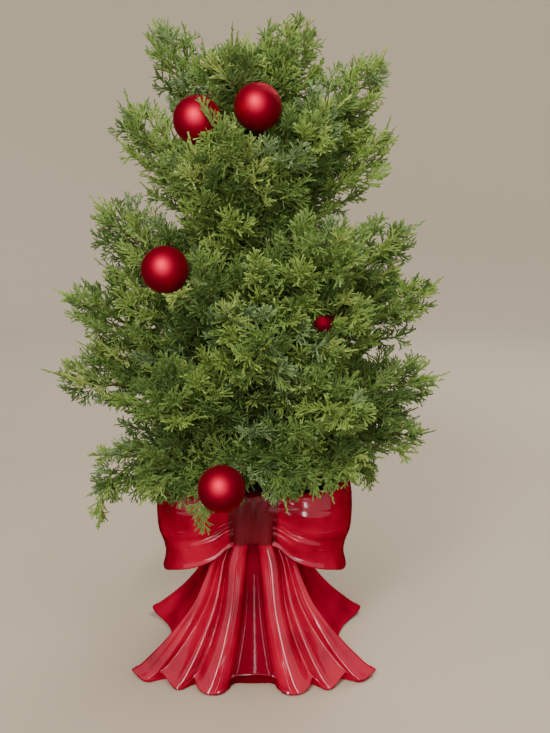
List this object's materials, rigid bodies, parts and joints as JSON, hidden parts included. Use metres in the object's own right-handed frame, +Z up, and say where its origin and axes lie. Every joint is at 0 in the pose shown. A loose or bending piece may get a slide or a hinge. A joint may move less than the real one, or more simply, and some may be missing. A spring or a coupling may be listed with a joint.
{
  "type": "potted juniper in a bow planter",
  "caption": "Small bushy juniper with an upright trunk and feathery green sprays, hung with round red baubles, in a glossy red ceramic planter shaped as a ribbon bow.",
  "frame": {"origin": "middle of the planter's flat foot, on the surface it stands on", "axes": "+Z up the trunk, +X to the right and +Y to the back as the picture shows it"},
  "size_m": [0.4845, 0.3849, 0.7445],
  "materials": {
    "red_glaze": "gloss",
    "potting_soil": "matte",
    "bark": "matte",
    "foliage": "matte"
  },
  "bodies": {
    "root": {"bow_planter": "red_glaze", "soil": "potting_soil", "trunk": "bark", "bough_mid_left": "bark", "bough_mid_right": "bark", "bough_mid_front_right": "bark", "bough_mid_front_left": "bark", "bough_mid_back_right": "bark", "bough_mid_back_left": "bark", "bough_wide_left": "bark", "bough_wide_right": "bark", "bough_wide_front": "bark", "bough_wide_back": "bark", "bough_low_left": "bark", "bough_low_right": "bark", "bough_low_front_right": "bark", "bough_low_front_left": "bark", "bough_low_back_right": "bark", "bough_low_back_left": "bark", "bough_skirt_left": "bark", "bough_skirt_right": "bark", "bough_skirt_front_right": "bark", "bough_skirt_front_left": "bark", "bough_skirt_back_right": "bark", "bough_skirt_back_left": "bark", "foliage_leader_left": "foliage", "foliage_leader_mid": "foliage", "foliage_leader_right": "foliage", "foliage_leader_front": "foliage", "foliage_leader_back": "foliage", "foliage_upper_left": "foliage", "foliage_upper_right": "foliage", "foliage_upper_front_right": "foliage", "foliage_upper_front_left": "foliage", "foliage_upper_back_right": "foliage", "foliage_upper_back_left": "foliage", "foliage_mid_left": "foliage", "foliage_mid_right": "foliage", "foliage_mid_front_right": "foliage", "foliage_mid_front_left": "foliage", "foliage_mid_back_right": "foliage", "foliage_mid_back_left": "foliage", "foliage_wide_left": "foliage", "foliage_wide_right": "foliage", "foliage_wide_front": "foliage", "foliage_wide_back": "foliage", "foliage_low_left": "foliage", "foliage_low_right": "foliage", "foliage_low_front_right": "foliage", "foliage_low_front_left": "foliage", "foliage_low_back_right": "foliage", "foliage_low_back_left": "foliage", "foliage_skirt_left": "foliage", "foliage_skirt_right": "foliage", "foliage_skirt_front": "foliage", "foliage_skirt_front_right": "foliage", "foliage_skirt_front_left": "foliage", "foliage_skirt_back_right": "foliage", "foliage_skirt_back_left": "foliage"}
  },
  "joints": []
}
